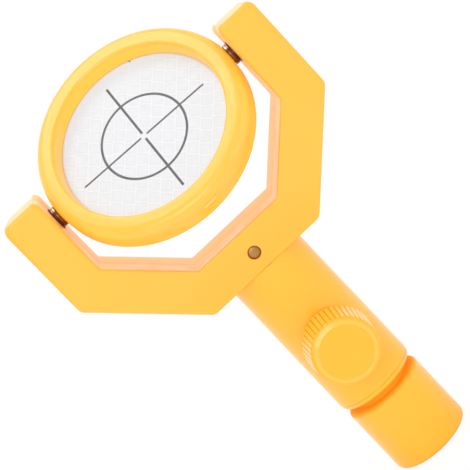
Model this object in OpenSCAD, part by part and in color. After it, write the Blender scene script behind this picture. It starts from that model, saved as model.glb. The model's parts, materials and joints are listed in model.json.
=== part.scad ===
// Tilting reflective survey target in a half-octagon yoke, on a swivelling stem with a
// threaded base. X runs along the tilt pivots, -Y is the front, +Z points up the stem, and
// the origin is the centre of the base's underside. All sizes are in millimetres.

/* [Body] */
// Diameter of stem and base, and thickness of the yoke from front to back
body_d = 28; // [26:0.5:34]

/* [Base] */
// Height of the base, without its boss
base_h = 25; // [22:0.5:40]
// Rounding of the base's lower rim
base_round_low = 1.5; // [1:0.25:4]
// Rounding of the base's upper rim
base_round_top = 1.4; // [0.5:0.1:2]
// Diameter of the boss that carries the stem
boss_d = 20; // [18:0.5:22]
// Height of the boss
boss_h = 1.6; // [1:0.1:3]
// Thickness of the slip washer between boss and stem
slip_washer_t = 0.8; // [0.4:0.1:1.5]
// Minor diameter of the pole thread, a 5/8 inch 11 per inch thread
pole_thread_d = 13.6; // [10:0.1:14]
// Outer diameter of the threaded pole insert
pole_insert_d = 18; // [16.5:0.5:19]
// Length of the pole insert
pole_insert_h = 14; // [10:0.5:15]

/* [Spigot] */
// Diameter of the spigot that the stem turns on
spigot_d = 12; // [10:0.5:12.5]
// Diameter of the spigot's root, held in the base
spigot_root_d = 15; // [13.5:0.5:16]
// Depth of the spigot's root in the base
spigot_root_h = 9; // [6:0.5:9]
// Height of the spigot above the boss
spigot_reach = 33.4; // [30:0.2:34]
// Depth of the locking groove round the spigot
groove_depth = 0.8; // [0.4:0.1:1.2]
// Room for the clamp pad on each side of the groove
groove_play = 0.3; // [0.2:0.1:0.6]

/* [Stem] */
// Length of the stem tube below the yoke
tube_len = 54.7; // [50:0.1:80]
// Rounding of the tube's lower rim
tube_round = 1.3; // [0.5:0.1:2]
// Height of the stepped band at the tube's lower rim
tube_band_h = 1.9; // [1.4:0.1:4]
// Depth of the step above that band
tube_band_step = 0.2; // [0.05:0.05:0.4]
// Wall of the metal sleeve inside the tube
sleeve_wall = 1.95; // [1.2:0.05:2.2]
// Length of the sleeve
sleeve_len = 34.6; // [34.4:0.2:40]
// Radial running clearance between spigot and sleeve
swivel_play = 0.05; // [0.02:0.01:0.1]
// Diameter of the tenon that plugs into the yoke
tenon_d = 18; // [14:0.5:20]
// Height of the tenon
tenon_h = 9.6; // [9:0.1:11]

/* [Yoke] */
// Gap between the target ring and each arm
pivot_gap = 1.6; // [1.4:0.05:2]
// Width of the yoke's flat inner floor
yoke_floor_w = 32.6; // [28:0.2:36]
// Room between the ring, as it turns over, and the yoke's inner floor
floor_room = 4.3; // [4:0.1:10]
// Width of the yoke's band, seen from the front
yoke_band = 13.6; // [13:0.1:16]
// Height of the arm ends above the pivot axis
arm_rise = 10.3; // [8:0.1:16]
// Rounding of the yoke's outer corners
corner_round = 3; // [1:0.5:4]
// Rounding of the outer corners at the arm ends
arm_round = 3.5; // [1:0.5:5]
// Diameter of the pin that locks tenon and yoke
cross_pin_d = 4.3; // [3:0.1:5]
// Height of the cross pin above the yoke's underside
cross_pin_rise = 6; // [5:0.1:6.5]
// How far the pin's ends lie below the yoke's faces
cross_pin_sink = 0.3; // [0.1:0.1:1]
// Rounding of the pin's visible end
cross_pin_dome = 1.2; // [0.4:0.1:1.4]

/* [Pivots] */
// Diameter of the pivot screw's shoulder
shoulder_d = 5; // [4:0.1:5.6]
// Diameter of the pivot screw's thread
pivot_thread_d = 3; // [2.4:0.1:3]
// Diameter of the pivot screw's head
pivot_head_d = 8; // [7:0.1:9]
// Height of the pivot screw's head
pivot_head_h = 2.6; // [2:0.1:3]
// Room round that head in the arm
pivot_head_room = 0.8; // [0.4:0.1:1.2]
// Width of the slot in that head
pivot_slot_w = 1.2; // [0.8:0.1:1.4]
// Outer diameter of the bush in each arm
bush_d = 8; // [7:0.1:9]
// Length of the bush in each arm
bush_len = 9; // [6:0.1:9.2]
// Radial running clearance between shoulder and bush
pivot_play = 0.05; // [0.02:0.01:0.1]
// Diameter of the washers between ring and arm
washer_d = 7.4; // [6.8:0.1:8]
// Thickness of the flat washer
flat_washer_t = 1; // [0.8:0.05:1]
// Thickness of the cupped spring washer's metal
cup_washer_t = 0.25; // [0.15:0.05:0.3]
// Outer diameter of the threaded insert in the ring
ring_insert_d = 4.1; // [3.8:0.05:4.1]
// Length of the threaded insert in the ring
ring_insert_len = 4.6; // [3:0.1:4.7]

/* [Target] */
// Outer diameter of the target ring
ring_d = 72; // [66:0.5:84]
// Height of the ring's lip in front of the pivot axis
ring_front = 5.6; // [5:0.1:8]
// Depth of the ring behind the pivot axis
ring_back = 4; // [3.8:0.1:6]
// Rounding of the lip towards the outside
lip_round = 3.2; // [2:0.1:4.5]
// Rounding of the ring's rear edge
ring_back_round = 1.2; // [0.5:0.1:1.4]
// Width of the ring between its rim and the window over the sheet
ring_wall = 7; // [7:0.1:9]
// How much wider the window is at the lip, on each side
window_draft = 0.2; // [0:0.1:1]
// Distance of the sheet's face behind the pivot axis
sheet_sink = 0.3; // [0:0.1:0.6]
// Thickness of the reflective sheet
sheet_t = 0.4; // [0.2:0.1:0.6]
// Width by which the sheet is trapped behind the window
sheet_overlap = 1; // [0.5:0.1:1.2]
// Thickness of the backing disc
backing_t = 1.7; // [1:0.1:1.7]
// Thickness of the rear cover
cover_t = 1.6; // [1.2:0.1:1.6]
// Width of the ring's rim round the rear cover
rear_rim = 2.1; // [1.9:0.1:2.4]
// Elevation of the target's face, as it stands
rest_elevation = 42.8; // [0:0.1:85]
// Number of screws in the rear cover
cover_screw_count = 3; // [3:1:6]
// Shank diameter of a cover screw
cover_screw_d = 2; // [1.6:0.1:2.2]
// Length of a cover screw below its head
cover_screw_len = 4.4; // [3.5:0.1:4.6]
// Head diameter of a cover screw
cover_head_d = 3.2; // [2.8:0.1:3.4]
// Distance of the cover screws from the cover's edge
cover_screw_inset = 1.8; // [1.7:0.1:2.2]
// Width of the cross slot in a cover screw
cover_slot_w = 0.5; // [0.3:0.1:0.6]

/* [Clamp knob] */
// Diameter of the knob over its ribs, at the rear
knob_d = 23.2; // [19:0.2:25]
// How much narrower the knob is at its front, on each side
knob_draft = 0.7; // [0:0.1:1.2]
// Height of the knob
knob_h = 14.2; // [11:0.1:18]
// Rounding of the knob's front rim
knob_round = 1.6; // [1:0.1:2]
// Height of the knob's axis above the tube's lower end
knob_rise = 21.9; // [18:0.1:24]
// Gap between the knob and the tube
knob_gap = 0.4; // [0.3:0.1:1]
// Number of ribs round the knob
rib_count = 43; // [24:1:48]
// Radius of the groove between two ribs
rib_groove_r = 0.4; // [0.3:0.05:0.5]
// Plain band between the ribs and the knob's rear edge
rib_margin = 0.8; // [0.4:0.1:1.5]
// Diameter of the knob's cap
cap_d = 17; // [14:0.5:17]
// Thickness of the knob's cap
cap_t = 1.4; // [1:0.1:2]
// Diameter of the clamp screw
screw_d = 6; // [5:0.5:6]
// Width across flats of the clamp screw's head
screw_head_af = 10; // [8:0.5:10]
// Height of the clamp screw's head
screw_head_h = 4; // [3:0.1:4.5]
// Clearance between the screw's thread and its insert, on each side
thread_play = 0.06; // [0.04:0.01:0.1]
// Wall of the threaded insert for the clamp screw
clamp_insert_wall = 1.1; // [0.8:0.05:1.3]
// Length of the nib that centres the clamp pad on the screw
nib_len = 1.3; // [0.8:0.1:1.5]

/* [Fits] */
// Gap between parts that fit one in the other
fit_gap = 0.1; // [0.06:0.01:0.15]
// Gap round a part that slides or turns by hand
slide_gap = 0.05; // [0.03:0.01:0.08]
// Gap between washers and what they press on
washer_gap = 0.03; // [0.02:0.01:0.05]
// Small rounding of moulded and turned edges
edge_round = 0.4; // [0.2:0.1:0.5]

/* [Hidden] */
$fn = 64;

// Small gap that keeps parts of one assembly from sharing a surface
seat = 0.02;
// Overshoot of a cutting tool past the face that it cuts
over = 1;

// Radii of the parts that turn in each other
body_r = body_d / 2;
spigot_r = spigot_d / 2;
sleeve_bore_r = spigot_r + swivel_play;
sleeve_r = sleeve_bore_r + sleeve_wall;
ring_r = ring_d / 2;
window_r = ring_r - ring_wall;
cover_seat_r = ring_r - rear_rim;
arm_in = ring_r + pivot_gap;
arm_out = arm_in + yoke_band;
yoke_depth = ring_r + floor_room;

// Heights of the main joints above the base's underside
boss_top = base_h + boss_h;
tube_low = boss_top + slip_washer_t;
yoke_low = tube_low + tube_len;
floor_z = yoke_low + yoke_band;
pivot_z = floor_z + yoke_depth;
knob_z = tube_low + knob_rise;
cross_pin_z = yoke_low + cross_pin_rise;

// Clamp screw and pad along their own axis, measured outwards from the stem's axis
screw_r = screw_d / 2;
pad_r = screw_r - fit_gap;
groove_r = spigot_r - groove_depth;
pad_tip = groove_r + slide_gap;
pad_end = sleeve_r - slide_gap;
clamp_insert_r = screw_r + thread_play + clamp_insert_wall;
clamp_insert_in = sleeve_r + fit_gap;
clamp_insert_out = sqrt(pow(body_r, 2) - pow(clamp_insert_r, 2)) - fit_gap;
knob_base = body_r + knob_gap;
knob_face = knob_base + knob_h;
head_seat = knob_face - cap_t - fit_gap - screw_head_h;

// Layers of the target, measured along the face's normal from the pivot axis
sheet_face = -sheet_sink;
sheet_back = sheet_face - sheet_t;
cover_face = -ring_back + cover_t;
sheet_r = window_r + sheet_overlap;
cover_r = cover_seat_r - fit_gap;
cover_screw_circle = cover_r - cover_screw_inset;
cover_head_h = (cover_head_d - cover_screw_d) / 2;
shoulder_r = shoulder_d / 2;
thread_r = pivot_thread_d / 2;

plastic = [1.0, 0.76, 0.22];
steel = [0.72, 0.72, 0.74];
brass = [0.80, 0.62, 0.32];

function unit(v) = v / norm(v);

// The two points where a rounding of radius r starts and ends at corner p
function rounding_ends(p, a, b, r) =
    let (u = unit(a - p), w = unit(b - p), t = r / tan(acos(u * w) / 2))
    r > 0 ? [p + u * t, p + w * t] : [p];

// The centre of that rounding
function rounding_centre(p, a, b, r) =
    let (u = unit(a - p), w = unit(b - p))
    p + unit(u + w) * r / sin(acos(u * w) / 2);

// An outline, counter-clockwise, whose outward corners are rounded by the radii given, or
// kept sharp at 0
module rounded_outline(points, radii) {
    n = len(points);
    polygon([for (i = [0 : n - 1])
        each rounding_ends(points[i], points[(i + n - 1) % n], points[(i + 1) % n], radii[i])]);
    for (i = [0 : n - 1])
        if (radii[i] > 0)
            rounding_sector(points[i], points[(i + n - 1) % n], points[(i + 1) % n], radii[i]);
}

// The slice of a circle that rounds corner p
module rounding_sector(p, a, b, r) {
    centre = rounding_centre(p, a, b, r);
    ends = rounding_ends(p, a, b, r);
    intersection() {
        translate(centre) circle(r = r);
        polygon([centre, ends[0], p, ends[1]]);
    }
}

// A turned bar with rounded rims, standing on z = 0
module rounded_bar(r, h, low, top) {
    rotate_extrude()
        rounded_outline([[0, 0], [r, 0], [r, h], [0, h]], [0, low, top, 0]);
}

// A plain round rod along the front-to-back axis, from depth a to depth b in front of the axis
module front_rod(r, a, b, z) {
    translate([0, -a, z]) rotate([90, 0, 0]) cylinder(r = r, h = b - a);
}

// A plain round rod along the pivot axis on the right side, from x = a to x = b
module side_rod(r, a, b) {
    translate([a, 0, pivot_z]) rotate([0, 90, 0]) cylinder(r = r, h = b - a);
}

// Puts the target's own layers on the pivot axis at the resting tilt
module on_target() {
    translate([0, 0, pivot_z]) rotate([90 - rest_elevation, 0, 0]) children();
}

// Base: moulded shell, threaded insert for the pole and the spigot
module base_shell() {
    color(plastic) difference() {
        union() {
            rounded_bar(body_r, base_h, base_round_low, base_round_top);
            cylinder(d = boss_d, h = boss_top);
        }
        translate([0, 0, -over]) cylinder(d = pole_insert_d, h = pole_insert_h + over);
        translate([0, 0, base_h - spigot_root_h])
            cylinder(d = spigot_root_d, h = spigot_root_h + boss_h + over);
    }
}

module pole_insert() {
    bore_r = pole_thread_d / 2;
    insert_r = pole_insert_d / 2;
    color(brass) rotate_extrude() translate([bore_r, 0])
        square([insert_r - seat - bore_r, pole_insert_h - seat]);
}

module spigot() {
    root_low = base_h - spigot_root_h + seat;
    root_r = spigot_root_d / 2 - seat;
    top = boss_top + spigot_reach;
    groove_half = pad_r + groove_play;
    chamfer = 1;
    color(steel) rotate_extrude() polygon([
        [0, root_low], [root_r, root_low], [root_r, boss_top], [spigot_r, boss_top],
        [spigot_r, knob_z - groove_half], [groove_r, knob_z - groove_half],
        [groove_r, knob_z + groove_half], [spigot_r, knob_z + groove_half],
        [spigot_r, top - chamfer], [spigot_r - chamfer, top], [0, top]
    ]);
}

module slip_washer() {
    color([0.93, 0.92, 0.88]) translate([0, 0, boss_top]) difference() {
        cylinder(d = boss_d - edge_round, h = slip_washer_t - seat);
        translate([0, 0, -over]) cylinder(r = spigot_r + slide_gap, h = slip_washer_t + 2 * over);
    }
}

// Stem: tube with its tenon, and the metal sleeve that runs on the spigot
module stem_tube() {
    color(plastic) difference() {
        union() {
            translate([0, 0, tube_low])
                rounded_bar(body_r - tube_band_step, tube_len, tube_round, 0);
            translate([0, 0, tube_low + tube_band_h])
                cylinder(r = body_r, h = tube_len - tube_band_h);
            translate([0, 0, yoke_low - over]) cylinder(d = tenon_d, h = tenon_h + over);
        }
        translate([0, 0, tube_low - over]) cylinder(r = sleeve_r, h = sleeve_len + over);
        front_rod(clamp_insert_r, 0, body_r + over, knob_z);
        front_rod(cross_pin_d / 2, -body_r - over, body_r + over, cross_pin_z);
    }
}

module spigot_sleeve() {
    color(brass) difference() {
        translate([0, 0, tube_low]) cylinder(r = sleeve_r - seat, h = sleeve_len - seat);
        translate([0, 0, tube_low - over]) cylinder(r = sleeve_bore_r, h = sleeve_len + 2 * over);
        front_rod(screw_r, 0, sleeve_r + over, knob_z);
    }
}

// Yoke: a band of even width round half an octagon, with the bores for tenon, pin and pivots
module yoke() {
    bend = tan(22.5);
    corner_in = yoke_depth - arm_in + yoke_floor_w / 2;
    corner_out = corner_in + yoke_band * bend;
    floor_in = yoke_floor_w / 2;
    floor_out = floor_in + yoke_band * bend;
    low_out = yoke_depth + yoke_band;
    arm_in_round = min(arm_round - 1, corner_round);
    color(plastic) difference() {
        translate([0, body_r, pivot_z]) rotate([90, 0, 0]) linear_extrude(body_d)
            rounded_outline([
                [-arm_out, arm_rise], [-arm_out, -corner_out], [-floor_out, -low_out],
                [floor_out, -low_out], [arm_out, -corner_out], [arm_out, arm_rise],
                [arm_in, arm_rise], [arm_in, -corner_in], [floor_in, -yoke_depth],
                [-floor_in, -yoke_depth], [-arm_in, -corner_in], [-arm_in, arm_rise]
            ], [
                arm_round, corner_round, corner_round, corner_round, corner_round, arm_round,
                arm_in_round, 0, 0, 0, 0, arm_in_round
            ]);
        translate([0, 0, yoke_low - over]) cylinder(d = tenon_d, h = tenon_h + fit_gap + over);
        front_rod(cross_pin_d / 2, -body_r - over, body_r + over, cross_pin_z);
        for (side = [0, 1]) mirror([side, 0, 0]) {
            side_rod(bush_d / 2, arm_in - over, arm_out + over);
            side_rod(pivot_head_d / 2 + pivot_head_room, arm_in + bush_len, arm_out + over);
        }
    }
}

module cross_pin() {
    half = body_r - cross_pin_sink;
    color(brass) translate([0, half, cross_pin_z]) rotate([90, 0, 0])
        rounded_bar(cross_pin_d / 2 - seat, 2 * half, edge_round, cross_pin_dome);
}

module clamp_insert() {
    color(brass) difference() {
        front_rod(clamp_insert_r - seat, clamp_insert_in, clamp_insert_out, knob_z);
        front_rod(screw_r + thread_play, 0, body_r + over, knob_z);
    }
}

module arm_bush() {
    color([0.20, 0.20, 0.21]) difference() {
        side_rod(bush_d / 2 - seat, arm_in, arm_in + bush_len);
        side_rod(shoulder_r + pivot_play, arm_in - over, arm_out);
    }
}

module arm_bush_right() { arm_bush(); }

module arm_bush_left() { mirror([1, 0, 0]) arm_bush(); }

// Clamp: pad, screw, ribbed knob and the cap that hides the screw's head
module clamp_pad() {
    color([0.93, 0.92, 0.88]) difference() {
        front_rod(pad_r, pad_tip, pad_end, knob_z);
        front_rod(screw_r / 2 + slide_gap, pad_end - nib_len - fit_gap, pad_end + over, knob_z);
    }
}

module clamp_screw() {
    head_r = screw_head_af / 2 / cos(30);
    color(steel) {
        front_rod(screw_r / 2, pad_end - nib_len, pad_end + over, knob_z);
        front_rod(screw_r, pad_end + slide_gap, head_seat + seat, knob_z);
        translate([0, -head_seat, knob_z]) rotate([90, 0, 0])
            cylinder(r = head_r - seat, h = screw_head_h, $fn = 6);
    }
}

module knob_body() {
    head_r = screw_head_af / 2 / cos(30);
    knob_r = knob_d / 2;
    rib_h = knob_h - knob_round - 1.5 * rib_margin;
    color(plastic) translate([0, -knob_base, knob_z]) rotate([90, 0, 0]) difference() {
        rotate_extrude() rounded_outline(
            [[0, 0], [knob_r, 0], [knob_r - knob_draft, knob_h], [0, knob_h]],
            [0, edge_round, knob_round, 0]);
        for (i = [0 : rib_count - 1])
            rotate(i * 360 / rib_count) translate([knob_r + rib_groove_r / 4, 0, rib_margin])
                rotate([0, -atan(knob_draft / knob_h), 0]) cylinder(r = rib_groove_r, h = rib_h);
        translate([0, 0, -over]) cylinder(r = screw_r + seat, h = knob_h + over);
        translate([0, 0, head_seat - knob_base])
            cylinder(r = head_r, h = knob_h, $fn = 6);
        translate([0, 0, knob_h - cap_t]) cylinder(d = cap_d, h = cap_t + over);
    }
}

module knob_cap() {
    color(plastic) translate([0, -knob_face + cap_t, knob_z]) rotate([90, 0, 0])
        rounded_bar(cap_d / 2 - seat, cap_t, fit_gap, edge_round / 2);
}

// Target: ring, sheet, backing disc and rear cover with its screws
module target_ring() {
    lip_r = window_r + window_draft;
    color(plastic) on_target() difference() {
        rotate_extrude() rounded_outline([
            [window_r, -sheet_sink], [sheet_r + fit_gap, -sheet_sink], [sheet_r + fit_gap, cover_face],
            [cover_seat_r, cover_face], [cover_seat_r, -ring_back],
            [ring_r, -ring_back], [ring_r, ring_front], [lip_r, ring_front]
        ], [0, 0, 0, 0, 0, ring_back_round, lip_round, edge_round]);
        for (side = [0, 180]) rotate([0, 90, side])
            translate([0, 0, ring_r - ring_insert_len - fit_gap])
                cylinder(d = ring_insert_d, h = ring_insert_len + over);
        cover_screw_places() translate([0, 0, cover_face])
            cylinder(d = cover_screw_d, h = cover_screw_len - cover_t + 2 * fit_gap);
    }
}

// The cover's screws stand between the pivots and clear of them
module cover_screw_places() {
    for (i = [0 : cover_screw_count - 1])
        rotate(90 + i * 360 / cover_screw_count) translate([cover_screw_circle, 0, 0]) children();
}

module reflective_sheet() {
    color([0.95, 0.95, 0.96]) on_target() translate([0, 0, sheet_back])
        cylinder(r = sheet_r, h = sheet_t);
}

module backing_disc() {
    color(steel) on_target() translate([0, 0, cover_face])
        cylinder(r = sheet_r, h = min(backing_t, sheet_back - cover_face));
}

module rear_cover() {
    color(plastic) on_target() difference() {
        translate([0, 0, -ring_back]) mirror([0, 0, 1]) translate([0, 0, -cover_t])
            rounded_bar(cover_r, cover_t, fit_gap, edge_round);
        cover_screw_places() translate([0, 0, -ring_back]) {
            translate([0, 0, -over]) cylinder(d = cover_screw_d + fit_gap, h = cover_t + 2 * over);
            cylinder(d1 = cover_head_d + fit_gap, d2 = cover_screw_d + fit_gap, h = cover_head_h);
        }
    }
}

module cover_screws() {
    color(steel) on_target() cover_screw_places() translate([0, 0, -ring_back]) difference() {
        union() {
            cylinder(d1 = cover_head_d, d2 = cover_screw_d - 2 * seat, h = cover_head_h);
            cylinder(d = cover_screw_d - 2 * seat, h = cover_screw_len);
        }
        for (turn = [0, 90]) rotate(turn)
            cube([0.7 * cover_head_d, cover_slot_w, 1.4 * cover_head_h], center = true);
    }
}

// Pivots: threaded insert in the ring, screw through the arm, and the washers between them.
// The right side is drawn and the left side is its mirror image.
module ring_insert() {
    color(brass) difference() {
        side_rod(ring_insert_d / 2 - seat, ring_r - ring_insert_len, ring_r - fit_gap);
        side_rod(thread_r + washer_gap, ring_r - ring_insert_len - over, ring_r + over);
    }
}

module ring_insert_right() { ring_insert(); }

module ring_insert_left() { mirror([1, 0, 0]) ring_insert(); }

module pivot_screw() {
    head_low = arm_in + bush_len + fit_gap;
    slot_depth = 1;
    color(steel) difference() {
        union() {
            side_rod(thread_r, ring_r - ring_insert_len + 2 * fit_gap, ring_r + seat);
            side_rod(shoulder_r, ring_r, head_low + seat);
            side_rod(pivot_head_d / 2, head_low, head_low + pivot_head_h);
        }
        translate([head_low + pivot_head_h, 0, pivot_z])
            cube([2 * slot_depth, pivot_head_d + over, pivot_slot_w], center = true);
    }
}

module pivot_screw_right() { pivot_screw(); }

module pivot_screw_left() { mirror([1, 0, 0]) pivot_screw(); }

module flat_washer() {
    color(steel) difference() {
        side_rod(washer_d / 2, ring_r + washer_gap, ring_r + flat_washer_t);
        side_rod(shoulder_r + slide_gap, ring_r - over, arm_in);
    }
}

module flat_washer_right() { flat_washer(); }

module flat_washer_left() { mirror([1, 0, 0]) flat_washer(); }

// The cupped washer leans from the flat washer at its rim to the arm at its hole
module cup_washer() {
    low = ring_r + flat_washer_t + washer_gap;
    high = arm_in - washer_gap;
    hole_r = shoulder_r + slide_gap;
    color(steel) translate([0, 0, pivot_z]) rotate([0, 90, 0]) rotate_extrude() polygon([
        [hole_r, high - cup_washer_t], [washer_d / 2, low],
        [washer_d / 2, low + cup_washer_t], [hole_r, high]
    ]);
}

module cup_washer_right() { cup_washer(); }

module cup_washer_left() { mirror([1, 0, 0]) cup_washer(); }

base_shell();
pole_insert();
spigot();
slip_washer();
stem_tube();
spigot_sleeve();
yoke();
cross_pin();
clamp_insert();
arm_bush_left();
arm_bush_right();
clamp_pad();
clamp_screw();
knob_body();
knob_cap();
target_ring();
reflective_sheet();
backing_disc();
rear_cover();
cover_screws();
ring_insert_left();
ring_insert_right();
pivot_screw_left();
pivot_screw_right();
flat_washer_left();
flat_washer_right();
cup_washer_left();
cup_washer_right();
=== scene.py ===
import json
import math

import bmesh
import bpy
from mathutils import Matrix, Quaternion, Vector


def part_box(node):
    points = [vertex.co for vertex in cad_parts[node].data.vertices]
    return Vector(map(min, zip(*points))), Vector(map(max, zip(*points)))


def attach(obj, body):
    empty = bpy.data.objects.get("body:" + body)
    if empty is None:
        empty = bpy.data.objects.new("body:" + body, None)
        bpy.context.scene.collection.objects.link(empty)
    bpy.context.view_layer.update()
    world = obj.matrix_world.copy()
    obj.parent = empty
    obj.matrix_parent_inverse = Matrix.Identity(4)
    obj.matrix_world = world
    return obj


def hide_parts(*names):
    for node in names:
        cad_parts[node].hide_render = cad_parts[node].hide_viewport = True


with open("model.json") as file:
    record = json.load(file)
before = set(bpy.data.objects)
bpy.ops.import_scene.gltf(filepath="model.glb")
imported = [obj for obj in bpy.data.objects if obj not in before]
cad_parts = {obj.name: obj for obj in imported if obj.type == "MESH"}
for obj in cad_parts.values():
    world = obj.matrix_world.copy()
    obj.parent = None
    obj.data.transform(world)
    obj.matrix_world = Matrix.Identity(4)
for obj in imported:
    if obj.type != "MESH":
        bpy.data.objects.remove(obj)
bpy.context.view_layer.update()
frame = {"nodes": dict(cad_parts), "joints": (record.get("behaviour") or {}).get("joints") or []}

# Shapes are drawn in millimetres and their meshes are written in metres
MM = 0.001

joints = {joint["name"]: joint for joint in frame["joints"]}


def box(node):
    """Lowest and highest corner of a CAD node, in millimetres."""
    low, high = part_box(node)
    return low / MM, high / MM


# Driving sizes, read from the frame
yoke_low, yoke_high = box("yoke")
tube_low = box("spigot_sleeve")[0].z
sleeve_top = box("spigot_sleeve")[1].z
sleeve_radius = box("spigot_sleeve")[1].x
tenon_top = box("stem_tube")[1].z
base_high = box("base_shell")[1]
insert_radius, insert_top = box("pole_insert")[1].x, box("pole_insert")[1].z
root_radius, root_low = box("spigot")[1].x, box("spigot")[0].z
ring_radius = box("target_ring")[1].x
cover_radius = box("rear_cover")[1].x
sheet_radius = box("reflective_sheet")[1].x
knob_low, knob_high = box("knob_body")
cap_radius = box("knob_cap")[1].x
screw_head_z = -box("clamp_screw")[0].y
bush_high = box("arm_bush_right")[1]
body_radius = yoke_high.y
pivot_z = joints["target_tilt"]["pos_m"][2] / MM
knob_z = joints["knob_turn"]["pos_m"][2] / MM
pin_low, pin_high = box("cross_pin")
pin_z = (pin_low.z + pin_high.z) / 2

# Sizes that the boxes don't give: yoke and stem
yoke_band = 13.6
yoke_floor_half = 16.3
tenon_radius = 9.0
band_height = 1.9
band_step = 0.2

# Target, whose heights are measured along its own axis, from the pivots
rest_elevation = 42.8
lip_height = 5.6
lip_round = 3.2
ring_depth = 4.0
window_radius = ring_radius - 7.0
window_draft = 0.2
sheet_face = -0.3
sheet_back = -0.7
cover_face = -2.4
cover_screw_radius = cover_radius - 1.8
gate_turn = math.radians(-88.4)
gate_height = 1.3

# Knob
rib_count = 43
rib_turn = math.radians(2.6)
knob_draft = 0.7
cap_height = 1.4

# Gap between a seat and the piece in it, and how far a cutter reaches past a face
seat_gap = 0.1
past = 1.0

# Where each group of turned pieces stands: local +Z is the axis of turning
STEM = Matrix.Identity(4)
TARGET = Matrix.Translation((0, 0, pivot_z * MM)) @ Matrix.Rotation(
    math.radians(90 - rest_elevation), 4, "X")
FORWARD = Matrix.Translation((0, 0, knob_z * MM)) @ Matrix.Rotation(math.radians(90), 4, "X")
PIN = Matrix.Translation((0, 0, pin_z * MM)) @ Matrix.Rotation(math.radians(90), 4, "X")
PIVOTS = {
    "right": Matrix.Translation((0, 0, pivot_z * MM)) @ Matrix.Rotation(math.radians(90), 4, "Y"),
    "left": Matrix.Translation((0, 0, pivot_z * MM)) @ Matrix.Rotation(math.radians(-90), 4, "Y"),
}


class Value:
    """A socket in a material, for use in arithmetic with numbers and other sockets."""

    def __init__(self, finish, socket):
        self.finish = finish
        self.socket = socket

    def math(self, operation, *others):
        """The result of a Math node whose first value is this one."""
        return self.finish.node(
            "ShaderNodeMath", {"operation": operation}, dict(enumerate((self, *others))))

    def __add__(self, other):
        return self.math("ADD", other)

    def __radd__(self, other):
        return self.math("ADD", other)

    def __sub__(self, other):
        return self.math("SUBTRACT", other)

    def __rsub__(self, other):
        return (self * -1.0) + other

    def __mul__(self, other):
        return self.math("MULTIPLY", other)

    def __truediv__(self, other):
        return self.math("DIVIDE", other)

    def __abs__(self):
        return self.math("ABSOLUTE")

    def least(self, other):
        """The smaller of this value and the other."""
        return self.math("MINIMUM", other)

    def most(self, other):
        """The larger of this value and the other."""
        return self.math("MAXIMUM", other)

    def inside(self, edge, blur):
        """One where this value is below edge, fading to zero over blur."""
        return self.finish.node(
            "ShaderNodeMapRange", {"interpolation_type": "SMOOTHSTEP"},
            {"Value": self, "From Min": edge - blur / 2, "From Max": edge + blur / 2,
             "To Min": 1.0, "To Max": 0.0})


class Finish:
    """A material made of nodes, on the object's own coordinates in millimetres.

    With a tree given, such as the world's, it fills that tree instead of a new material.
    """

    def __init__(self, name, tree=None):
        if not tree:
            self.material = bpy.data.materials.new(name)
            self.material.use_nodes = True
        self.tree = tree or self.material.node_tree
        self.tree.nodes.clear()
        place = self.node("ShaderNodeTexCoord", {}, {}, "Object")
        self.place = self.node(
            "ShaderNodeVectorMath", {"operation": "SCALE"}, {0: place, "Scale": 1 / MM})

    def node(self, kind, settings, inputs, output=0):
        """Adds a node: its settings first, then the values or links of its sockets."""
        node = self.tree.nodes.new(kind)
        for name, value in settings.items():
            setattr(node, name, value)
        for name, value in inputs.items():
            if isinstance(value, Value):
                self.tree.links.new(value.socket, node.inputs[name])
            else:
                node.inputs[name].default_value = value
        return Value(self, node.outputs[output])

    def noise(self, size, detail=2.0, roughness=0.5, at=None):
        """Noise from 0 to 1 whose lumps are about size millimetres across."""
        return self.node(
            "ShaderNodeTexNoise", {},
            {"Vector": at or self.place, "Scale": 1 / size, "Detail": detail,
             "Roughness": roughness}, "Fac")

    def stretched(self, x, y, z):
        """The place, with each coordinate scaled by itself."""
        return self.node(
            "ShaderNodeVectorMath", {"operation": "MULTIPLY"}, {0: self.place, 1: (x, y, z)})

    def part(self, axis, of=None):
        """One coordinate of the place, or of another vector."""
        parts = self.tree.nodes.new("ShaderNodeSeparateXYZ")
        self.tree.links.new((of or self.place).socket, parts.inputs[0])
        return Value(self, parts.outputs[axis])

    def mix(self, mask, first, second):
        """A colour that is first where mask is 0 and second where it is 1."""
        return self.node(
            "ShaderNodeMix", {"data_type": "RGBA"}, {0: mask, 6: first, 7: second}, 2)

    def bump(self, height, depth, strength):
        """A bumped normal for a height map from 0 to 1 that is depth millimetres deep."""
        return self.node(
            "ShaderNodeBump", {},
            {"Height": height, "Distance": depth * MM, "Strength": strength}, "Normal")

    def surface(self, **inputs):
        """The closing shader, with its sockets' names written with underscores."""
        names = {name.replace("_", " "): value for name, value in inputs.items()}
        shader = self.node("ShaderNodeBsdfPrincipled", {}, names)
        self.close(shader)
        return self.material

    def close(self, shader):
        """Joins a shader to the material's output."""
        output = self.tree.nodes.new("ShaderNodeOutputMaterial")
        self.tree.links.new(shader.socket, output.inputs["Surface"])


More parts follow.
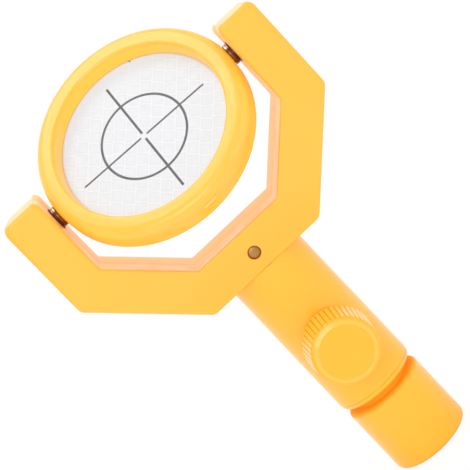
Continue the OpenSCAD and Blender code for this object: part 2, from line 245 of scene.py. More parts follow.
class Moulded(Finish):
    """Glossy moulded plastic with a fine grain, faint flow marks and a few soft scuffs.

    The plastic is given a faint painted emission, which lifts it where it lies in shade.
    """

    def __init__(self, name, light, deep, coat=0.42, painted_glow=(0.08, 0.030, 0.0, 1)):
        super().__init__(name)
        cloud = self.noise(26.0, detail=3.0)
        flow = self.noise(9.0, detail=2.0, at=self.stretched(1.0, 1.0, 0.25))
        scuffs = self.noise(1.4, detail=4.0, at=self.stretched(0.25, 1.0, 1.0))
        self.colour = self.mix(cloud * 0.6 + flow * 0.4, light, deep)
        # Painted light: a faint orange emission lifts the plastic where it lies in shade
        self.painted_glow = painted_glow
        self.gloss = 0.25 + cloud * 0.08 + scuffs * 0.14
        self.coat = coat - scuffs * 0.2

    def away(self, of=None):
        """Distance from the Z axis of the piece, or of another frame."""
        flat = self.node("ShaderNodeVectorMath", {"operation": "MULTIPLY"},
                         {0: of or self.place, 1: (1.0, 1.0, 0.0)})
        return self.node("ShaderNodeVectorMath", {"operation": "LENGTH"}, {0: flat}, "Value")

    def turn(self, of=None):
        """Angle round the Z axis."""
        return self.part(1, of).math("ARCTAN2", self.part(0, of))

    def tint(self, mask, colour, painted_glow=None):
        """Turns the plastic to another colour, and its painted emission too if one is given."""
        self.colour = self.mix(mask, self.colour, colour)
        if painted_glow:
            self.painted_glow = self.mix(mask, self.painted_glow, painted_glow)

    def dull(self, mask):
        """Takes the shine off."""
        self.gloss = self.gloss + mask * 0.4
        self.coat = self.coat * (1.0 - mask)

    def done(self):
        """Closes the material, with its grain and ripple."""
        grain = self.noise(0.22, detail=2.0, roughness=0.6)
        ripple = self.noise(3.0, detail=2.0)
        return self.surface(
            Base_Color=self.colour, Roughness=self.gloss, IOR=1.5, Coat_Weight=self.coat,
            Coat_Roughness=0.1, Emission_Color=self.painted_glow, Emission_Strength=1.0,
            Normal=self.bump(grain * 0.5 + ripple * 0.5, 0.03, 0.3))


def yoke_yellow():
    """Yoke plastic: painted shade low on its front near the stem, painted light and painted sheen
    inside the band, and a painted highlight on the arm ends.
    """
    finish = Moulded("yoke_yellow", (1.0, 0.505, 0.055, 1), (1.0, 0.470, 0.032, 1), coat=0.22)
    x, y, z = abs(finish.part(0)), finish.part(1), finish.part(2)
    # Painted shade: deeper orange low in the middle, near the stem
    middle = x.inside(30.0, 40.0) * z.inside(yoke_low.z + 9.0, 16.0)
    finish.tint(middle * 0.8, (1.0, 0.455, 0.026, 1))

    # The outer faces and the front face, down to this skin, keep the plain yellow
    skin, front_skin, blur = 3.0, 1.4, 1.0
    slant = yoke_floor_half - yoke_low.z - yoke_band + skin
    inside = x.inside(yoke_high.x - skin, blur) * (1.0 - z.inside(yoke_low.z + skin, blur))
    inside = inside * (x - z).inside(slant, blur)
    inside = inside * (1.0 - y.inside(-yoke_high.y + front_skin, 0.8))
    # Painted light: the inner faces of the band are paler
    finish.tint(inside, (1.0, 0.565, 0.040, 1))
    # Painted sheen: pale pinkish patches on the front half of the inner faces
    sheen_patches = ((finish.noise(9.0, detail=1.0) - 0.35) * 2.5).most(0.0).least(1.0)
    finish.tint(inside * y.inside(-3.0, 6.0) * sheen_patches, (1.0, 0.70, 0.46, 1))

    # Painted highlight on the arm ends, strongest at the back, where a faint painted emission is
    # added too
    ends = 1.0 - z.inside(yoke_high.z - 0.65, 0.5)
    finish.tint(ends, (1.0, 0.62, 0.36, 1))
    back = 1.0 - y.inside(0.0, 3.0)
    finish.tint(ends * back, (1.0, 0.76, 0.66, 1), (0.09, 0.09, 0.06, 1))
    return finish.done()


def stem_yellow():
    """Plastic of stem and base: painted shade and a painted orange emission in the seam between
    them, and painted shade in two fine lines.
    """
    finish = Moulded("stem_yellow", (1.0, 0.500, 0.014, 1), (1.0, 0.462, 0.008, 1), coat=0.6)
    z, away = finish.part(2), finish.away()
    # Painted shade and a painted orange emission in the seam gap between tube and base
    seam = (1.0 - z.inside(base_high.z - 2.5, 0.9)) * z.inside(tube_low + 0.1, 0.05)
    seam = seam * away.inside(body_radius - 0.1, 0.6)
    finish.tint(seam, (1.0, 0.40, 0.008, 1), (0.24, 0.045, 0.0, 1))
    finish.dull(seam)

    # Painted shade in two fine lines: one in the step above the tube's band, the other in the
    # joint under the yoke
    blur = 0.1
    step = abs(z - (tube_low + band_height + 0.1)).inside(0.15, blur)
    joint = 1.0 - z.inside(yoke_low.z - 0.16, blur)
    outer = 1.0 - away.inside(body_radius - 0.6, 0.3)
    line_shade = step.most(joint) * outer * (0.15 + finish.noise(5.0, detail=3.0))
    finish.tint(line_shade.least(1.0), (0.62, 0.36, 0.02, 1))
    return finish.done()


def knob_yellow():
    """Knob plastic: painted light on its ribbed side, a painted highlight on the bevel round the
    cap, and painted shade in the grooves.
    """
    finish = Moulded("knob_yellow", (1.0, 0.465, 0.010, 1), (1.0, 0.445, 0.006, 1))
    height, away = finish.part(2), finish.away()
    below_rim = height.inside(-knob_low.y - 1.5, 0.6)
    # Painted light: the ribbed side is paler
    outside = (1.0 - away.inside(cap_radius + 1.6, 0.3)) * below_rim
    finish.tint(outside, (1.0, 0.590, 0.045, 1))
    # Painted highlight on the bevel round the cap
    bevel = (1.0 - away.inside(cap_radius + 0.1, 0.25)) * away.inside(cap_radius + 1.3, 0.5)
    finish.tint(bevel, (1.0, 0.52, 0.07, 1))

    # Grooves lie half-way between two ribs, in shares of the ribs' spacing
    groove_half, blur = 0.08, 0.10
    ribs = (finish.turn() - rib_turn) * (rib_count / math.tau)
    groove = abs(ribs.math("FRACT") - 0.5).inside(groove_half, blur)
    # Painted shade in the grooves, with the painted emission taken out there
    finish.tint(groove * outside * 0.8, (0.84, 0.50, 0.015, 1), (0.0, 0.0, 0.0, 1))
    return finish.done()


def ring_yellow():
    """Ring plastic: painted streaky highlights round the lip, a lining made pale by painted light,
    and a painted highlight on the mark of the gate.
    """
    finish = Moulded("ring_yellow", (1.0, 0.495, 0.046, 1), (1.0, 0.470, 0.036, 1),
                     painted_glow=(0.06, 0.045, 0.003, 1))
    moved = finish.node("ShaderNodeVectorMath", {"operation": "SUBTRACT"},
                        {0: finish.place, 1: (0.0, 0.0, pivot_z)})
    own = finish.node("ShaderNodeVectorRotate", {"rotation_type": "X_AXIS"},
                      {"Vector": moved, "Angle": math.radians(rest_elevation - 90)})
    x, height = finish.part(0, own), finish.part(2, own)
    away, turn = finish.away(own), finish.turn(own)
    # Painted highlight: pale streaks stretched round the ring
    along, round_ring = 0.8, 4.0
    streak_place = finish.node("ShaderNodeCombineXYZ", {},
                        {0: away * along, 1: turn * round_ring, 2: height * along})
    marks = finish.noise(1.0, detail=3.0, roughness=0.6, at=streak_place)
    finish.tint((marks - 0.45).most(0.0) * 1.2, (1.0, 0.60, 0.18, 1))

    # Painted light: the rim is paler near the pivots, with a paler painted emission
    side = (1.0 - away.inside(ring_radius - 1.0, 3.0)) * (1.0 - abs(x).inside(24.0, 14.0))
    finish.tint(side, (1.0, 0.56, 0.060, 1), (0.06, 0.075, 0.006, 1))

    # Painted light makes the lining pale, with a painted reflection on one side, and a painted
    # shadow lies where it meets the sheet
    lining = away.inside(window_radius + 0.25, 0.3)
    finish.tint(lining, (1.0, 0.60, 0.030, 1))
    # Painted reflection: the lining is paler on one side
    finish.tint(lining * x.inside(-19.0, 10.0), (1.0, 0.60, 0.10, 1))
    # Painted shadow where the lining meets the sheet, with the painted emission taken out
    contact = lining * height.inside(sheet_face + 0.3, 0.2)
    finish.tint(contact, (0.60, 0.30, 0.06, 1), (0.0, 0.0, 0.0, 1))

    # The mark of the gate is shown as a pale painted highlight
    gate_half_turn, gate_half_height = 0.065, 0.3
    gate = abs(turn - gate_turn).inside(gate_half_turn, 0.03)
    gate = gate * abs(height - gate_height).inside(gate_half_height, 0.35)
    gate = gate * (1.0 - away.inside(ring_radius - 1.5, 0.2))
    finish.tint(gate * (0.3 + finish.noise(1.2) * 0.9).least(1.0), (1.0, 0.75, 0.40, 1))
    return finish.done()


def turned_metal(name, light, dark, roughness, rings=True, painted_glint=None):
    """Metal with turned tool marks or a plain grain, with a painted glint above the pivots if
    asked.
    """
    finish = Finish(name)
    colour = finish.mix(finish.noise(1.6, detail=3.0), light, dark)
    if painted_glint:
        # Painted glint: the colour turns paler above the pivots
        colour = finish.mix(1.0 - finish.part(2).inside(pivot_z + 2.6, 1.4), colour, painted_glint)
    marks = finish.noise(0.08, detail=1.0, at=finish.stretched(1.0, 1.0, 6.0)) if rings \
        else finish.noise(0.15, detail=2.0)
    return finish.surface(
        Base_Color=colour, Metallic=1.0,
        Roughness=roughness + marks * 0.12, Normal=finish.bump(marks, 0.01, 0.3))


def plain_plastic(name, light, dark, roughness):
    """Small plain bearing parts, with the faint grain of moulded plastic."""
    finish = Finish(name)
    grain = finish.noise(0.3, detail=3.0)
    blotch = finish.noise(2.5, detail=2.0)
    return finish.surface(
        Base_Color=finish.mix(blotch, light, dark), Roughness=roughness + grain * 0.1,
        Normal=finish.bump(grain, 0.02, 0.4))


def reflective_film():
    """White cellular reflective film with a plain printed cross and circle."""
    finish = Finish("reflective_film")

    # The cells stand in slanted rows and columns, and each column is shifted a little
    cell_along, cell_across, seam = 4.22, 4.3, 0.5
    column_turn, row_turn = math.radians(51.4), math.radians(-48.4)
    first_column, column_shift, most_shift = 0.615, 0.37, 0.3
    x, y = finish.part(0), finish.part(1)
    slant = math.sin(column_turn - row_turn)
    wave = (finish.noise(7.0, detail=1.0) - 0.5) * 0.25
    across = (x * math.sin(column_turn) - y * math.cos(column_turn)) / (cell_across * slant) + wave
    along = (y * math.cos(row_turn) - x * math.sin(row_turn)) / (cell_along * slant) + wave
    across = across + first_column
    shift = ((across.math("FLOOR") * column_shift).math("FRACT") - 0.5) * most_shift
    to_column = abs(across.math("FRACT") - 0.5)
    to_row = abs((along + shift + 0.5).math("FRACT") - 0.5)
    depth = (0.5 - to_column.most(to_row)) * cell_along
    wall = depth.inside(seam / 2, 0.16)
    rim = depth.inside(seam / 2 + 0.45, 0.3) * (1.0 - wall)
    shade = 0.45 + wall * 0.34 - rim * 0.24 + (finish.noise(2.5, detail=1.0) - 0.5) * 0.6
    film = finish.mix(shade, (0.262, 0.265, 0.274, 1), (0.302, 0.305, 0.315, 1))
    returned = finish.mix(shade, (0.468, 0.472, 0.486, 1), (0.535, 0.540, 0.556, 1))

    # The film's edge gets painted shade warmed by a painted reflection of the ring, its top gets
    # cooler painted light, and one small brown tick is on it
    edge = 1.0 - (x * x + y * y).math("SQRT").inside(window_radius - 0.45, 0.5)
    film = finish.mix(edge, film, (0.34, 0.22, 0.19, 1))
    returned = finish.mix(edge, returned, (0.50, 0.40, 0.36, 1))
    # Painted light: the top of the film is cooler and paler
    top = 1.0 - y.inside(21.0, 14.0)
    returned = finish.mix(top, returned, (0.51, 0.525, 0.565, 1))
    tick_x, tick_y = 12.3, 26.5
    tick = abs(x - tick_x).inside(0.22, 0.15) * abs(y - tick_y).inside(0.7, 0.2)
    film = finish.mix(tick, film, (0.10, 0.05, 0.02, 1))
    returned = finish.mix(tick, returned, (0.02, 0.01, 0.0, 1))

    # The print is a little off the centre, and its cross is open there
    line, thin_line, circle_radius, arm_across, arm_along = 0.82, 0.66, 14.65, 24.4, 23.8
    centre_gap, print_turn, print_x, print_y = 1.15, math.radians(-2.6), -0.32, 0.36
    placed = finish.node("ShaderNodeVectorMath", {"operation": "SUBTRACT"},
                         {0: finish.place, 1: (print_x, print_y, 0.0)})
    turned = finish.node("ShaderNodeVectorRotate", {"rotation_type": "Z_AXIS"},
                         {"Vector": placed, "Angle": -print_turn})
    x, y = finish.part(0, turned), finish.part(1, turned)
    distance = (x * x + y * y).math("SQRT")
    blur = 0.16
    circle = abs(distance - circle_radius).inside(line / 2, blur)
    level = abs(y).inside(thin_line / 2, blur) * abs(x).inside(arm_across, blur)
    upright = abs(x).inside(line / 2, blur) * abs(y).inside(arm_along, blur)
    ink = circle.most(level).most(upright) * (1.0 - distance.inside(centre_gap, blur))
    ink = ink * (0.82 + finish.noise(0.8, detail=3.0) * 0.2)

    # The film sends light back the way it came, which is shown as light of its own
    film = finish.mix(ink, film, (0.050, 0.046, 0.045, 1))
    returned = finish.mix(ink, returned, (0.0, 0.0, 0.0, 1))
    return finish.surface(
        Base_Color=film, Roughness=0.45, IOR=1.5, Emission_Color=returned,
        Emission_Strength=1.0, Normal=finish.bump(1.0 - wall, 0.05, 0.2))


finishes = {
    "yoke": yoke_yellow(),
    "stem": stem_yellow(),
    "knob": knob_yellow(),
    "ring": ring_yellow(),
    "cover": Moulded("cover_yellow", (1.0, 0.495, 0.046, 1), (1.0, 0.470, 0.036, 1)).done(),
    # The slip washer's deep orange is painted shade, for the seam gap where it sits
    "slip": Moulded("slip_orange", (1.0, 0.250, 0.010, 1), (1.0, 0.200, 0.008, 1)).done(),
    "film": reflective_film(),
    "steel": turned_metal("bright_steel", (0.62, 0.61, 0.60, 1), (0.50, 0.49, 0.48, 1), 0.22),
    # Washer steel: its dark reddish brown is painted shade and painted orange reflection, with a
    # painted glint above the pivots
    "washer": turned_metal("washer_steel", (0.30, 0.11, 0.05, 1), (0.15, 0.045, 0.02, 1), 0.2,
                           painted_glint=(0.66, 0.50, 0.38, 1)),
    "brass": turned_metal("brass", (0.80, 0.58, 0.26, 1), (0.66, 0.46, 0.20, 1), 0.28),
    "bronze": turned_metal("pin_bronze", (0.50, 0.28, 0.10, 1), (0.36, 0.19, 0.065, 1), 0.42,
                           rings=False),
    "aluminium": turned_metal("backing_aluminium", (0.78, 0.78, 0.80, 1), (0.68, 0.68, 0.70, 1),
                              0.35, rings=False),
    "natural": plain_plastic("natural_plastic", (0.86, 0.84, 0.78, 1), (0.78, 0.76, 0.70, 1), 0.4),
    "bush": plain_plastic("bush_plastic", (0.260, 0.075, 0.020, 1), (0.200, 0.050, 0.015, 1),
                          0.65),
}


def rounded(corners, steps=8):
    """Points of a closed outline whose corners, given as (x, y, radius), are rounded."""
    points = []
    for i, (x, y, radius) in enumerate(corners):
        corner = Vector((x, y))
        if not radius:
            points.append(corner)
            continue
        before = (Vector(corners[i - 1][:2]) - corner).normalized()
        after = (Vector(corners[(i + 1) % len(corners)][:2]) - corner).normalized()
        half = before.angle(after) / 2
        centre = corner + (before + after).normalized() * (radius / math.sin(half))
        start = corner + before * (radius / math.tan(half)) - centre
        end = corner + after * (radius / math.tan(half)) - centre
        sweep = start.angle(end)
        for step in range(steps + 1):
            part = sweep * step / steps
            points.append(centre + (start * math.sin(sweep - part) + end * math.sin(part))
                          / math.sin(sweep))
    return points


def new_piece(mesh, name, place=STEM):
    """An object in the scene from a mesh drawn in millimetres."""
    piece = bpy.data.objects.new(name, bpy.data.meshes.new(name))
    bmesh.ops.recalc_face_normals(mesh, faces=mesh.faces)
    mesh.to_mesh(piece.data)
    mesh.free()
    piece.data.transform(Matrix.Scale(MM, 4))
    bpy.context.scene.collection.objects.link(piece)
    piece.matrix_world = place
    bpy.context.view_layer.update()
    return piece


def bridge(mesh, ring, following):
    """Faces between two rings, either of which may be a single point."""
    count = max(len(ring), len(following))
    for i in range(count):
        j = (i + 1) % count
        corners = [ring[i % len(ring)], ring[j % len(ring)],
                   following[j % len(following)], following[i % len(following)]]
        mesh.faces.new(list(dict.fromkeys(corners)))


def lathe(name, profile, place=STEM, sides=128):
    """Turns a profile of (radius, height) points about Z. It is closed, or ends on the axis."""
    mesh = bmesh.new()
    rings = []
    for radius, height in profile:
        if radius < 1e-6:
            rings.append([mesh.verts.new((0, 0, height))])
        else:
            angles = (math.tau * i / sides for i in range(sides))
            rings.append([mesh.verts.new((radius * math.cos(a), radius * math.sin(a), height))
                          for a in angles])
    pairs = list(zip(rings, rings[1:]))
    if len(rings[0]) > 1:
        pairs.append((rings[-1], rings[0]))
    for ring, following in pairs:
        bridge(mesh, ring, following)
    return new_piece(mesh, name, place)


def loft(name, rings):
    """Joins rings of equal length into one solid with flat ends."""
    mesh = bmesh.new()
    loops = [[mesh.verts.new(point) for point in ring] for ring in rings]
    for ring, following in zip(loops, loops[1:]):
        bridge(mesh, ring, following)
    mesh.faces.new(loops[0])
    mesh.faces.new(loops[-1])
    return new_piece(mesh, name)


def block(name, size, centre, place):
    """A plain box."""
    mesh = bmesh.new()
    bmesh.ops.create_cube(mesh, size=1.0)
    bmesh.ops.scale(mesh, vec=size, verts=mesh.verts)
    bmesh.ops.translate(mesh, vec=centre, verts=mesh.verts)
    return new_piece(mesh, name, place)


def stand(piece):
    """Writes the piece's place into its mesh, so that its box is no larger than the piece."""
    piece.data.transform(piece.matrix_world)
    piece.matrix_world = Matrix.Identity(4)
    bpy.context.view_layer.update()


def cut(piece, cutters):
    """Cuts the cutters out of a piece and removes them."""
    for cutter in cutters:
        modifier = piece.modifiers.new("cut", "BOOLEAN")
        modifier.operation = "DIFFERENCE"
        modifier.solver = "EXACT"
        modifier.object = cutter
    graph = bpy.context.evaluated_depsgraph_get()
    made = bpy.data.meshes.new_from_object(piece.evaluated_get(graph))
    piece.modifiers.clear()
    piece.data = made
    for cutter in cutters:
        bpy.data.objects.remove(cutter)


def dress(piece, finish, body, *nodes):
    """Gives a piece its finish, smooth shading and body, and hides the CAD nodes that it stands
    for.
    """
    piece.data.materials.clear()
    piece.data.materials.append(finishes[finish])
    piece.data.shade_smooth()
    piece.data.set_sharp_from_angle(angle=math.radians(32))
    modifier = piece.modifiers.new("even_shading", "WEIGHTED_NORMAL")
    modifier.keep_sharp = True
    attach(piece, body)
    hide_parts(*nodes)


def inset(outline, distances):
    """Moves each point of a counter-clockwise outline inwards by its distance, with mitres."""
    moved = []
    for i, point in enumerate(outline):
        first = (point - outline[i - 1]).normalized()
        second = (outline[(i + 1) % len(outline)] - point).normalized()
        first, second = Vector((-first.y, first.x)), Vector((-second.y, second.x))
        moved.append(point + (first + second) / (1 + first.dot(second)) * distances[i])
    return moved


def yoke_shell():
    """Yoke: a band round half an octagon, with softened face edges and a fine parting line."""
    bend = math.tan(math.radians(22.5))
    bend_round, tip_round, inner_round = 3.0, 3.5, 0.6
    arm_out, top, bottom = yoke_high.x, yoke_high.z, yoke_low.z
    arm_in, floor = arm_out - yoke_band, bottom + yoke_band
    corner_in = floor + arm_in - yoke_floor_half
    corner_out = corner_in - yoke_band * bend
    floor_out = yoke_floor_half + yoke_band * bend
    half = [
        (floor_out, bottom, bend_round), (arm_out, corner_out, bend_round),
        (arm_out, top, tip_round), (arm_in, top, bend_round),
        (arm_in, corner_in, inner_round), (yoke_floor_half, floor, inner_round),
    ]
    outline = rounded(half + [(-x, z, radius) for x, z, radius in reversed(half)])

    # The edges of the faces are crisp at the floor and softer towards the arm ends
    soft, crisp = 1.7, 0.5
    reach = top - floor
    edges = [crisp + (soft - crisp) * min(1.0, max(0.0, (p.y - floor + 1.0) / reach))
             for p in outline]

    # The walls draft from the front to the back, with a fine line where the mould parts
    draft, seam_half, seam_step = 0.32, 0.14, 0.04

    def ring(inwards, depth, side):
        """The outline, moved inwards and off the face by shares of the edge's rounding."""
        taper = draft if side > 0 else 0.0
        moved = inset(outline, [taper + edge * inwards for edge in edges])
        return [(p.x, side * (yoke_high.y - edge * depth), p.y) for p, edge in zip(moved, edges)]

    def level(y, depth):
        """The outline half-way back, moved inwards by a depth."""
        return [(p.x, y, p.y) for p in inset(outline, [draft / 2 + depth] * len(outline))]

    steps = 6
    turns = [math.radians(90) * step / steps for step in range(steps + 1)]
    front, back = [[ring(1 - math.sin(turn), 1 - math.cos(turn), side) for turn in turns]
                   for side in (-1, 1)]
    middle = [level(-seam_half, seam_step), level(-seam_half * 0.6, 0.0),
              level(seam_half * 0.6, 0.0), level(seam_half, seam_step)]
    yoke = loft("yoke_band", front + middle + back[::-1])

    # Holes for cross pin, pivots and tenon, two of them with a chamfer at the mouth
    hole, mouth = 2.15, 2.4
    cutters = [lathe("pin_hole", [
        (0, -body_radius - past), (hole, -body_radius - past), (hole, body_radius - 0.15),
        (mouth, body_radius + 0.1), (mouth, body_radius + past), (0, body_radius + past)], PIN)]
    bore, recess = bush_high.y, bush_high.y + 0.8
    mouth = recess + 0.45
    for place in PIVOTS.values():
        cutters.append(lathe("pivot_bore", [
            (0, arm_in - past), (bore, arm_in - past), (bore, bush_high.x),
            (recess, bush_high.x), (recess, arm_out - 0.35), (mouth, arm_out + 0.1),
            (mouth, arm_out + past), (0, arm_out + past)], place))
    socket_top = tenon_top + seat_gap
    cutters.append(lathe("tenon_socket", [
        (0, bottom - past), (tenon_radius, bottom - past), (tenon_radius, socket_top),
        (0, socket_top)]))
    cut(yoke, cutters)
    dress(yoke, "yoke", "head", "yoke")


def stem_shell():
    """Stem: slightly tapered tube with a stepped band at its lower rim, and its tenon."""
    low, high = tube_low, yoke_low.z
    wide, narrow = body_radius + 0.22, body_radius - 0.12
    band_radius, band_top = wide - band_step, low + band_height
    tube = lathe("stem", rounded([
        (0, tenon_top, 0), (0, sleeve_top, 0), (sleeve_radius, sleeve_top, 0),
        (sleeve_radius, low, 0.15), (band_radius, low, 1.3), (band_radius, band_top - 0.2, 0.1),
        (band_radius - 0.15, band_top, 0.05), (wide, band_top + 0.2, 0.1),
        (narrow, high, 0.18), (tenon_radius, high, 0),
        (tenon_radius, tenon_top, 0)])[1:] + [Vector((0, tenon_top))], sides=192)
    hole, reach = 4.16, 16
    cut(tube, [lathe("clamp_hole", [(0, 0), (hole, 0), (hole, reach), (0, reach)], FORWARD)])
    dress(tube, "stem", "head", "stem_tube")


def base_cup():
    """Base: short round cup with rounded rims and a boss under the stem."""
    boss_radius, boss_height, boss_top = 10.0, 1.6, base_high.z
    high = boss_top - boss_height
    base = lathe("base_cup", rounded([
        (0, root_low, 0), (0, insert_top, 0), (insert_radius, insert_top, 0),
        (insert_radius, 0, 0.2), (body_radius, 0, 1.5), (body_radius, high, 1.4),
        (boss_radius, high, 0.25), (boss_radius, boss_top, 0.25), (root_radius, boss_top, 0.1),
        (root_radius, root_low, 0)])[1:] + [Vector((0, root_low))], sides=192)
    dress(base, "stem", "base", "base_shell")


def target_rim():
    """Target ring: a deep lip with a rounded outer edge, and seats for sheet and cover."""
    sheet_seat, cover_seat, small_round = sheet_radius + seat_gap, cover_radius + seat_gap, 1.2
    ring = lathe("target_rim", rounded([
        (window_radius, sheet_face, 0.1), (sheet_seat, sheet_face, 0),
        (sheet_seat, cover_face, 0), (cover_seat, cover_face, 0),
        (cover_seat, -ring_depth, 0.15), (ring_radius, -ring_depth, small_round),
        (ring_radius, lip_height, lip_round),
        (window_radius + window_draft, lip_height, small_round)], steps=12), TARGET, sides=256)
    stand(ring)
    dress(ring, "ring", "target", "target_ring")


def film_disc():
    """Reflective sheet, with the faint waviness of film on a flat backing."""
    rings, sides, wave, calm_width = 28, 96, 0.012, 3
    radius, back = sheet_radius - 0.02, sheet_back + 0.01
    angles = [math.tau * i / sides for i in range(sides)]

    def sink(r, a):
        """How far the face lies below its plane: nothing at its edge."""
        calm = min(1.0, (radius - r) / calm_width)
        return wave * calm * (1 + math.sin(r * 0.7 + 2 * a) * math.cos(3 * a - 0.4 * r))

    mesh = bmesh.new()
    loops = [[mesh.verts.new((0, 0, sheet_face))]]
    for i in range(1, rings + 1):
        r = radius * i / rings
        loops.append([mesh.verts.new((r * math.cos(a), r * math.sin(a), sheet_face - sink(r, a)))
                      for a in angles])
    loops.append([mesh.verts.new((v.co.x, v.co.y, back)) for v in loops[-1]])
    loops.append([mesh.verts.new((0, 0, back))])
    for ring, following in zip(loops, loops[1:]):
        bridge(mesh, ring, following)
    dress(new_piece(mesh, "film_disc", TARGET), "film", "target", "reflective_sheet")


def rear_plate():
    """Rear cover: moulded disc with a shallow panel, held by three countersunk screws."""
    back, face, panel = -ring_depth, cover_face - 0.01, 24.0
    panel_face = back + 0.3
    plate = lathe("rear_plate", rounded([
        (0, panel_face, 0), (panel, panel_face, 0.25), (panel + 0.5, back, 0.25),
        (cover_radius, back, 0.4), (cover_radius, face, 0.1), (0, face, 0)]), TARGET, sides=192)
    hole, mouth, depth = 1.05, 1.65, 0.6
    outwards = Matrix.Translation((cover_screw_radius * MM, 0, 0))
    cutters = []
    for turn in (90, 210, 330):
        spot = TARGET @ Matrix.Rotation(math.radians(turn), 4, "Z") @ outwards
        cutters.append(lathe("screw_seat", [
            (0, back - past), (mouth + past, back - past), (mouth, back), (hole, back + depth),
            (hole, cover_face + past), (0, cover_face + past)], spot, sides=48))
    cut(plate, cutters)
    dress(plate, "cover", "target", "rear_cover")


def knob_grip():
    """Clamp knob: narrow grooves between broad ribs, ending in a rounded and bevelled rim."""
    rear, face = -knob_high.y, -knob_low.y
    rim, crown, floor = knob_high.x, knob_high.x - knob_draft, face - cap_height
    pocket, bore, head_height = 5.9, 3.02, 4.0
    seat = screw_head_z - head_height

    # Points across one rib's spacing, from rib to rib, are closest in the groove
    across = (0.0, 0.2, 0.37, 0.39, 0.41, 0.43, 0.45, 0.47, 0.485)
    steps = sorted({*across, 0.5, *(1 - u for u in across if u)})
    groove_half, cut_depth = 0.13, 0.32

    def groove(u):
        """Depth of the groove, from 0 on a rib to 1 half-way between two ribs."""
        near = max(0.0, 1 - abs(u - 0.5) / groove_half)
        return near * near * (3 - 2 * near)

    angles = [rib_turn + (i + u) * math.tau / rib_count for i in range(rib_count) for u in steps]
    depths = [groove(u) for i in range(rib_count) for u in steps]

    def ring(radius, height, depth):
        """One ring round the knob, whose grooves have the given depth."""
        return [((radius - depth * d) * math.cos(a), (radius - depth * d) * math.sin(a), height)
                for a, d in zip(angles, depths)]

    # The grooves run out in the rounded shoulder between the ribs and the flat bevel
    shoulder_width, shoulder, bevel_drop = 1.0, 1.1, 0.7
    shoulder_steps, fade_steps = 10, 9
    rings = [ring(bore, rear, 0), ring(rim - 0.5, rear, cut_depth / 2),
             ring(rim - 0.1, rear + 0.1, cut_depth), ring(rim, rear + 0.3, cut_depth),
             ring(crown, face - bevel_drop - shoulder - 0.1, cut_depth)]
    for step in range(1, shoulder_steps + 1):
        turn = math.radians(90) * step / shoulder_steps
        fade = max(0.0, 1 - step / fade_steps)
        rings.append(ring(crown - shoulder_width * (1 - math.cos(turn)),
                          face - bevel_drop - shoulder * (1 - math.sin(turn)), cut_depth * fade))
    rings += [ring(cap_radius + 0.12, face - 0.02, 0), ring(cap_radius + 0.03, face - 0.01, 0),
              ring(cap_radius + 0.02, floor, 0), ring(pocket, floor, 0), ring(pocket, seat, 0),
              ring(bore, seat, 0)]
    mesh = bmesh.new()
    loops = [[mesh.verts.new(point) for point in points] for points in rings]
    for first, second in zip(loops, loops[1:] + loops[:1]):
        bridge(mesh, first, second)
    dress(new_piece(mesh, "knob_grip", FORWARD), "knob", "knob", "knob_body")


def knob_disc():
    """Knob cap: a round cap, flush with the rim, with a slightly dished face."""
    face, back = -knob_low.y - 0.02, -knob_low.y - cap_height
    dish_width, dish_depth, steps = 0.96, 0.16, 12
    dish = [(cap_radius * t * dish_width, face - dish_depth * (1 - t * t))
            for t in (i / steps for i in range(steps + 1))]
    edge = [(cap_radius + 0.012, face), (cap_radius + 0.015, face - 0.18),
            (cap_radius, back), (0, back)]
    dress(lathe("knob_disc", dish + edge, FORWARD), "knob", "knob", "knob_cap")


def lock_pin():
    """Cross pin: a short bronze pin with a domed end just below the yoke's face."""
    half, radius, chamfer, dome, steps = pin_high.y, pin_high.x, 0.2, 0.75, 12
    profile = [(0, -half), (radius - chamfer, -half), (radius, -half + chamfer),
               (radius, half - dome)]
    for step in range(1, steps + 1):
        turn = math.radians(90) * step / steps
        profile.append((radius * math.cos(turn) ** 0.8, half - dome + dome * math.sin(turn)))
    profile[-1] = (0, half)
    dress(lathe("lock_pin", profile, PIN, sides=64), "bronze", "head", "cross_pin")


def pivot_hardware(side):
    """Flat washer, cupped washer and slotted shoulder screw of one pivot."""
    place = PIVOTS[side]

    def span(node):
        """Where a CAD node starts and ends along the pivot, and its radius."""
        low, high = box(node)
        near, far = sorted((abs(low.x), abs(high.x)))
        return near, far, high.y

    hole = 2.55
    near, far, radius = span("flat_washer_" + side)
    flat = lathe("flat_washer_turned_" + side, rounded([
        (hole, near, 0.08), (radius, near, 0.22), (radius, far, 0.22), (hole, far, 0.08)],
        steps=4), place, sides=96)
    stand(flat)
    dress(flat, "washer", "target", "flat_washer_" + side)

    near, far, radius = span("cup_washer_" + side)
    thick, edge = 0.25, 0.05
    cup = lathe("cup_washer_turned_" + side, [
        (hole, far - thick), (radius - edge, near), (radius, near + edge),
        (radius, near + thick - edge), (radius - edge, near + thick), (hole, far)],
        place, sides=96)
    stand(cup)
    dress(cup, "washer", "target", "cup_washer_" + side)

    near, far, radius = span("pivot_screw_" + side)
    head, shoulder, thread = far - 2.6, 2.5, 1.5
    slot_size = (2 * (radius + past), 1.2, 2.0)
    screw = lathe("pivot_screw_turned_" + side, rounded([
        (0, near, 0), (thread, near, 0.3), (thread, ring_radius, 0), (shoulder, ring_radius, 0.1),
        (shoulder, head, 0), (radius, head, 0.15), (radius, far, 0.45), (0, far, 0)], steps=5),
        place, sides=96)
    cut(screw, [block("slot", slot_size, (0, 0, far), place)])
    dress(screw, "steel", "target", "pivot_screw_" + side)


def carried_over():
    """CAD nodes that keep their shape and get a finish."""
    worn = {
        "brass": ["pole_insert", "spigot_sleeve", "clamp_insert", "ring_insert_left",
                  "ring_insert_right"],
        "steel": ["spigot", "clamp_screw", "cover_screws"],
        "aluminium": ["backing_disc"],
        "natural": ["clamp_pad"],
        "slip": ["slip_washer"],
        "bush": ["arm_bush_left", "arm_bush_right"],
    }
    for finish, nodes in worn.items():
        for node in nodes:
            for slot in frame["nodes"][node].material_slots:
                slot.material = finishes[finish]


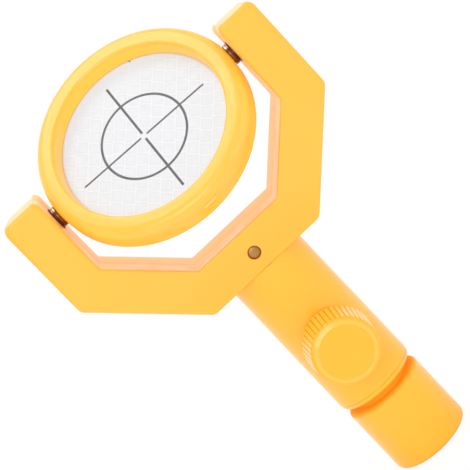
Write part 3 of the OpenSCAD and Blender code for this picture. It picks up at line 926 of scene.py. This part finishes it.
def studio_floor():
    """Pale floor, which looks white and shows only a little of the shadows on it."""
    mesh = bmesh.new()
    floor_radius, whiteness = 12000, 0.82
    bmesh.ops.create_circle(mesh, cap_ends=True, radius=floor_radius, segments=64)
    floor = new_piece(mesh, "studio_floor")
    paper = Finish("studio_paper")
    seen = paper.node("ShaderNodeLightPath", {}, {}, "Is Camera Ray")
    lit = paper.node("ShaderNodeBsdfDiffuse", {}, {"Color": (0.92, 0.92, 0.92, 1)})
    white = paper.node("ShaderNodeEmission", {}, {"Color": (1, 1, 1, 1), "Strength": 1.04})
    paper.close(paper.node("ShaderNodeMixShader", {}, {0: seen * whiteness, 1: lit, 2: white}))
    floor.data.materials.append(paper.material)


def studio_room():
    """White room, brightest overhead and behind the object, and darker towards the front."""
    world = bpy.data.worlds.new("studio_world")
    bpy.context.scene.world = world
    world.use_nodes = True
    room = Finish("studio_room", world.node_tree)
    way = room.node("ShaderNodeTexCoord", {}, {}, "Generated")
    rise = room.node("ShaderNodeVectorMath", {"operation": "DOT_PRODUCT"},
                     {0: way, 1: (0.0, 0.6, 0.55)}, "Value")
    darkest = 0.55
    level = (rise * 0.5 + 0.75).most(darkest).least(1.0)
    seen = room.node("ShaderNodeLightPath", {}, {}, "Is Camera Ray")
    output = room.tree.nodes.new("ShaderNodeOutputWorld")
    light = room.node("ShaderNodeBackground", {},
                      {"Color": (1, 1, 1, 1), "Strength": level.most(seen)})
    room.tree.links.new(light.socket, output.inputs["Surface"])


def studio_lamps():
    """Three soft lamps, each with its place and size in metres and its power in watts."""
    middle = Vector((0, 0, 0.09))
    lamps = {
        "softbox_front": ((-0.14, -0.90, 0.44), 0.5, 2.6),
        "softbox_top": ((0.06, 0.02, 1.05), 0.45, 2.0),
        "softbox_right": ((0.70, -0.60, 0.10), 0.5, 0.5),
    }
    for name, (spot, size, watts) in lamps.items():
        lamp = bpy.data.lights.new(name, "AREA")
        lamp.shape = "SQUARE"
        lamp.size = size
        lamp.energy = watts
        softbox = bpy.data.objects.new(name, lamp)
        bpy.context.scene.collection.objects.link(softbox)
        softbox.location = spot
        aim = middle - Vector(spot)
        softbox.rotation_euler = aim.to_track_quat("-Z", "Y").to_euler()


def camera():
    """A long lens level with the target, rolled so that the stem runs to the lower right."""
    eye, aim = Vector((0.01057, -0.46139, 0.17788)), Vector((-0.00110, 0.0, 0.09369))
    roll = math.radians(-43.462)
    lens = bpy.data.cameras.new("camera")
    lens.lens, lens.sensor_width = 114.05, 36.0
    lens.shift_x, lens.shift_y = 0.0007, 0.0007
    lens.clip_start, lens.clip_end = 0.01, 50.0
    view = bpy.data.objects.new("camera", lens)
    bpy.context.scene.collection.objects.link(view)
    view.location = eye
    view.rotation_mode = "QUATERNION"
    view.rotation_quaternion = (aim - eye).to_track_quat("-Z", "Y") @ Quaternion((0, 0, 1), roll)
    bpy.context.scene.camera = view


camera()
studio_floor()
studio_room()
studio_lamps()
yoke_shell()
stem_shell()
base_cup()
target_rim()
film_disc()
rear_plate()
knob_grip()
knob_disc()
lock_pin()
for pivot_side in PIVOTS:
    pivot_hardware(pivot_side)
carried_over()

bpy.context.scene.view_settings.view_transform = "Standard"
